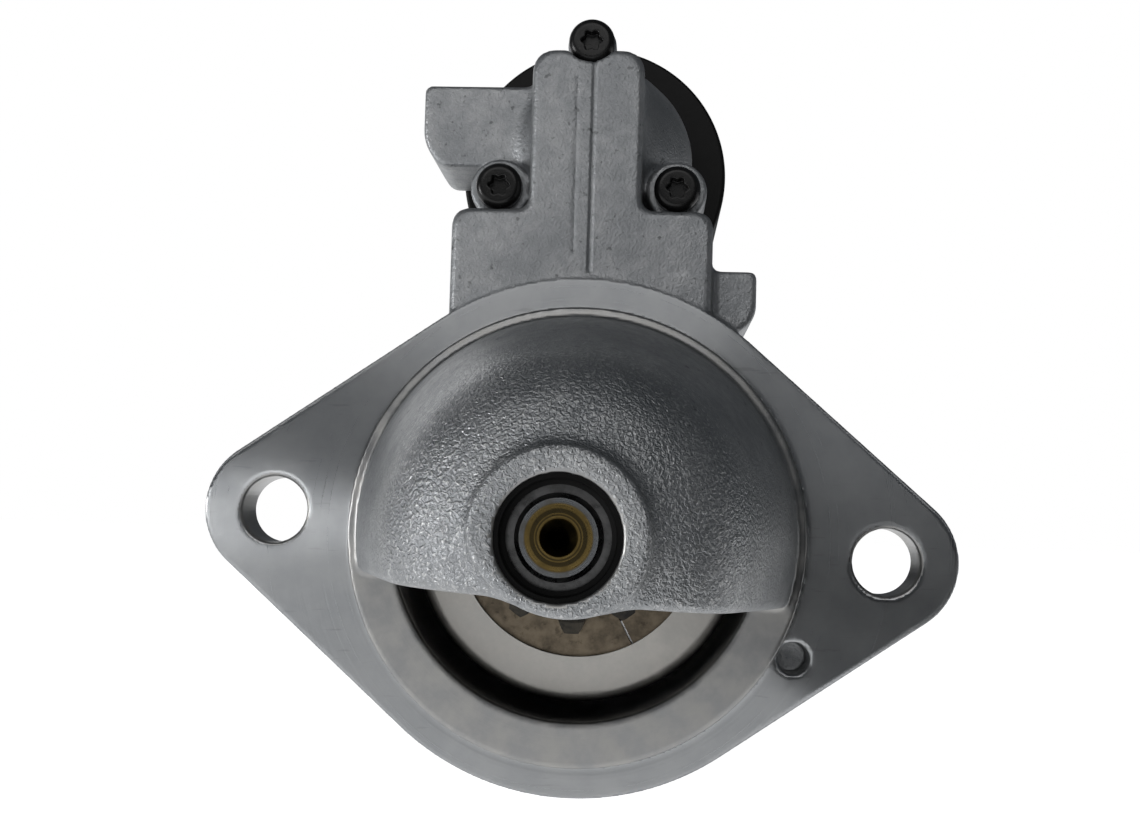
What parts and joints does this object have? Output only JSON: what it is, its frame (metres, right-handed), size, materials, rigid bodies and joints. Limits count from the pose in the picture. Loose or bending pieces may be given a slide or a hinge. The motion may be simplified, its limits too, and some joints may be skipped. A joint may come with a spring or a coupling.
{
  "type": "starter motor",
  "caption": "Geared pre-engaged starter motor with a two-bolt flange, a half hood over the pinion, a solenoid on top and an open-ended overrunning clutch drive.",
  "frame": {"origin": "on the motor axis, in the flange face that meets the engine", "axes": "-Y along the motor axis out of the nose, +Y towards the commutator end, +Z from the motor to the solenoid, +X to the right when looking at the nose"},
  "size_m": [0.1484, 0.2686, 0.1602],
  "materials": {
    "cast_aluminium": "die cast, machined faces",
    "steel": "turned and ground",
    "dark_steel": "oiled, hardened",
    "zinc_steel": "zinc plated",
    "tan_steel": "heat tinted",
    "black_paint": "satin black",
    "black_screw": "black oxide",
    "copper": "bare copper",
    "enamelled_copper": "enamelled copper wire",
    "bronze": "sintered bronze",
    "sheet_brass": "folded sheet brass",
    "ferrite": "ground ferrite",
    "lamination": "stacked sheet steel",
    "carbon": "pressed carbon and copper",
    "rubber": "moulded rubber",
    "black_plastic": "glass filled",
    "grey_plastic": "glass filled",
    "spring_steel": "drawn wire"
  },
  "bodies": {
    "housing": {"brush_holders": "sheet_brass", "brush_plate": "zinc_steel", "brush_springs": "spring_steel", "coil_bobbin": "grey_plastic", "commutator_end_cover": "cast_aluminium", "control_stud": "zinc_steel", "drive_end_housing": "cast_aluminium", "end_cap": "zinc_steel", "lead_grommet": "rubber", "magnets": "ferrite", "main_studs": "copper", "motor_lead": "copper", "nose_bearing": "dark_steel", "nose_seal": "rubber", "pivot_pin": "steel", "rear_bush": "bronze", "return_spring": "spring_steel", "ring_gear": "grey_plastic", "solenoid_can": "black_paint", "solenoid_cap": "black_plastic", "solenoid_coil": "enamelled_copper", "solenoid_core": "steel", "solenoid_screws": "black_screw", "support_bush": "bronze", "support_plate": "zinc_steel", "terminal_nuts": "zinc_steel", "through_bolts": "zinc_steel", "yoke_tube": "black_paint"},
    "output_shaft": {"output_shaft": "steel", "planet_pins": "steel", "stop_ring": "steel", "snap_ring": "spring_steel"},
    "planet_1": {"planet_gear_1": "steel"},
    "planet_2": {"planet_gear_2": "steel"},
    "planet_3": {"planet_gear_3": "steel"},
    "armature": {"armature_shaft": "steel", "armature_core": "lamination", "armature_windings": "enamelled_copper", "commutator": "copper", "lock_washer": "spring_steel"},
    "plunger": {"plunger": "steel", "plunger_pin": "steel", "contact_rod": "steel"},
    "fork_lever": {"fork_lever": "black_plastic"},
    "contact_bridge": {"contact_bridge": "copper", "contact_spring": "spring_steel"},
    "guide_ring": {"guide_ring": "grey_plastic"},
    "meshing_spring": {"meshing_spring": "spring_steel"},
    "clutch": {"clutch_driver": "steel", "clutch_rollers": "steel", "roller_springs": "spring_steel", "clutch_cover": "zinc_steel", "clutch_washer": "tan_steel", "driver_clip": "spring_steel"},
    "pinion": {"pinion": "dark_steel", "pinion_bushes": "bronze"},
    "brush_1": {"brush_1": "carbon"},
    "brush_2": {"brush_2": "carbon"},
    "brush_3": {"brush_3": "carbon"},
    "brush_4": {"brush_4": "carbon"}
  },
  "joints": [
    {"name": "armature_spin", "type": "hinge", "parent": "housing", "child": "armature", "pos_m": [0, 0.12, 0], "axis": [0, 1, 0], "continuous": true},
    {"name": "output_shaft_spin", "type": "hinge", "parent": "housing", "child": "output_shaft", "pos_m": [0, 0, 0], "axis": [0, 1, 0], "continuous": true},
    {"name": "planet_1_spin", "type": "hinge", "parent": "output_shaft", "child": "planet_1", "pos_m": [0, 0.077, 0.02025], "axis": [0, 1, 0], "continuous": true},
    {"name": "planet_2_spin", "type": "hinge", "parent": "output_shaft", "child": "planet_2", "pos_m": [-0.01754, 0.077, -0.01013], "axis": [0, 1, 0], "continuous": true},
    {"name": "planet_3_spin", "type": "hinge", "parent": "output_shaft", "child": "planet_3", "pos_m": [0.01754, 0.077, -0.01013], "axis": [0, 1, 0], "continuous": true},
    {"name": "plunger_slide", "type": "slide", "parent": "housing", "child": "plunger", "axis": [0, 1, 0], "range_m": [0, 0.0094], "stiffness_N_per_m": 900, "springref_m": -0.012, "deforming": ["return_spring"]},
    {"name": "fork_lever_pivot", "type": "hinge", "parent": "housing", "child": "fork_lever", "pos_m": [0, 0.031, 0.052], "axis": [-1, 0, 0], "range_deg": [0, 19]},
    {"name": "contact_bridge_slide", "type": "slide", "parent": "housing", "child": "contact_bridge", "axis": [0, 1, 0], "range_m": [0, 0.0069], "deforming": ["contact_spring"]},
    {"name": "guide_ring_slide", "type": "slide", "parent": "housing", "child": "guide_ring", "axis": [0, -1, 0], "range_m": [0, 0.01774]},
    {"name": "driver_helix_turn", "type": "hinge", "parent": "guide_ring", "child": "meshing_spring", "pos_m": [0, 0.04, 0], "axis": [0, -1, 0], "range_deg": [0, 53.22], "deforming": ["meshing_spring"]},
    {"name": "clutch_spin", "type": "hinge", "parent": "meshing_spring", "child": "clutch", "pos_m": [0, 0.02, 0], "axis": [0, 1, 0], "continuous": true},
    {"name": "pinion_overrun", "type": "hinge", "parent": "clutch", "child": "pinion", "pos_m": [0, 0, 0], "axis": [0, 1, 0], "continuous": true},
    {"name": "brush_1_slide", "type": "slide", "parent": "housing", "child": "brush_1", "axis": [0.7071, 0, 0.7071], "range_m": [0, 0.003], "stiffness_N_per_m": 1500, "springref_m": -0.006, "deforming": ["brush_springs"]},
    {"name": "brush_2_slide", "type": "slide", "parent": "housing", "child": "brush_2", "axis": [-0.7071, 0, 0.7071], "range_m": [0, 0.003], "stiffness_N_per_m": 1500, "springref_m": -0.006},
    {"name": "brush_3_slide", "type": "slide", "parent": "housing", "child": "brush_3", "axis": [-0.7071, 0, -0.7071], "range_m": [0, 0.003], "stiffness_N_per_m": 1500, "springref_m": -0.006},
    {"name": "brush_4_slide", "type": "slide", "parent": "housing", "child": "brush_4", "axis": [0.7071, 0, -0.7071], "range_m": [0, 0.003], "stiffness_N_per_m": 1500, "springref_m": -0.006}
  ],
  "couplings": [
    {"joint": "output_shaft_spin", "follows": "armature_spin", "ratio": 0.22222},
    {"joint": "clutch_spin", "follows": "armature_spin", "ratio": 0.22222},
    {"joint": "planet_1_spin", "follows": "armature_spin", "ratio": -0.62222},
    {"joint": "planet_2_spin", "follows": "armature_spin", "ratio": -0.62222},
    {"joint": "planet_3_spin", "follows": "armature_spin", "ratio": -0.62222},
    {"joint": "fork_lever_pivot", "follows": "plunger_slide", "rad_per_m": 35.278},
    {"joint": "contact_bridge_slide", "follows": "plunger_slide", "ratio": 0.73404},
    {"joint": "guide_ring_slide", "follows": "plunger_slide", "ratio": 1.8872},
    {"joint": "driver_helix_turn", "follows": "plunger_slide", "rad_per_m": 98.815}
  ]
}
